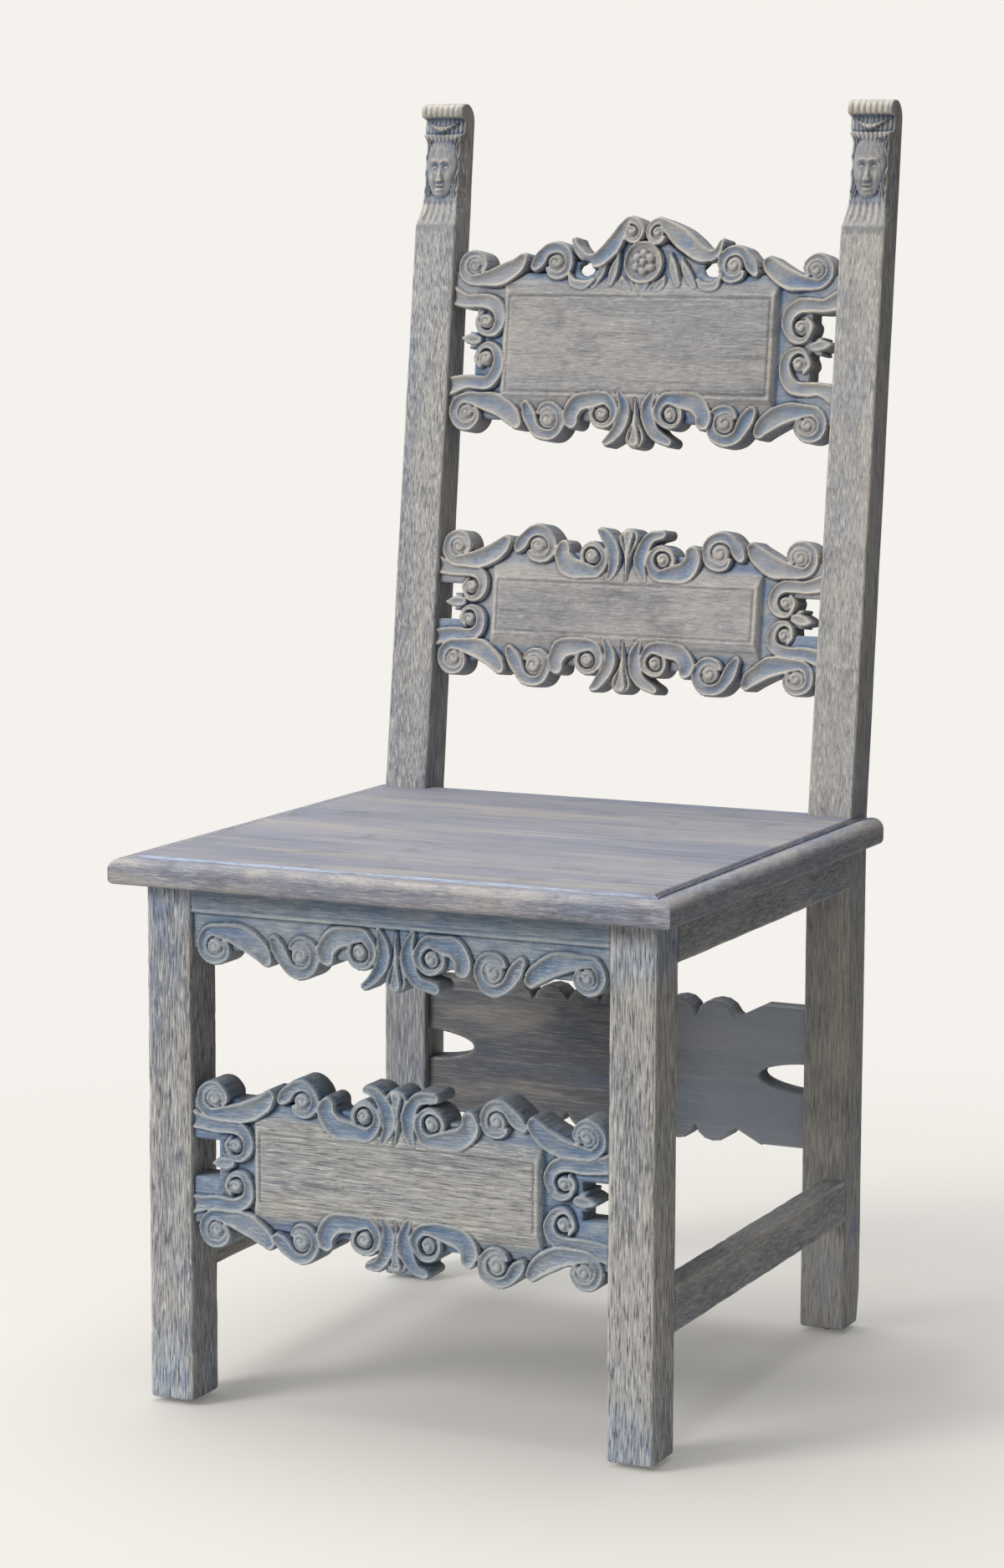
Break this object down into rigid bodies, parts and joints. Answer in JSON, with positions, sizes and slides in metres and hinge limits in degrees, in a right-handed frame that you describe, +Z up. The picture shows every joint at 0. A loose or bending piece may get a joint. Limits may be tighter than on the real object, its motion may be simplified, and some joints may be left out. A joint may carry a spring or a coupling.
{
  "type": "study chair",
  "caption": "High-backed wooden side chair with raked posts ending in carved heads, boards carved with scrolls, a board seat with a bullnose edge, and stretchers on all sides",
  "frame": {"origin": "on the floor, under the middle of the chair's overall length and width", "axes": "+Z up, the front of the chair faces -Y, +X to the right of a person who faces the chair"},
  "size_m": [0.514, 0.5852, 1.1214],
  "materials": {
    "frame_wood": "worn blue-grey paint over pale wood",
    "seat_wood": "rubbed blue-grey paint, worn at the edges",
    "bare_wood": "unpainted, planed",
    "glide_steel": "dull"
  },
  "bodies": {
    "root": {"front_leg_left": "frame_wood", "front_leg_right": "frame_wood", "back_post_left": "frame_wood", "back_post_right": "frame_wood", "crest_rail": "frame_wood", "mid_rail": "frame_wood", "front_apron": "frame_wood", "front_stretcher": "frame_wood", "back_stretcher": "frame_wood", "side_seat_rail_left": "frame_wood", "side_seat_rail_right": "frame_wood", "back_seat_rail": "frame_wood", "side_stretcher_left": "frame_wood", "side_stretcher_right": "frame_wood", "seat_panel": "seat_wood", "seat_moulding_front": "seat_wood", "seat_moulding_left": "seat_wood", "seat_moulding_right": "seat_wood", "corner_block_front_left": "bare_wood", "corner_block_front_right": "bare_wood", "corner_block_back_left": "bare_wood", "corner_block_back_right": "bare_wood", "glides": "glide_steel"}
  },
  "joints": []
}
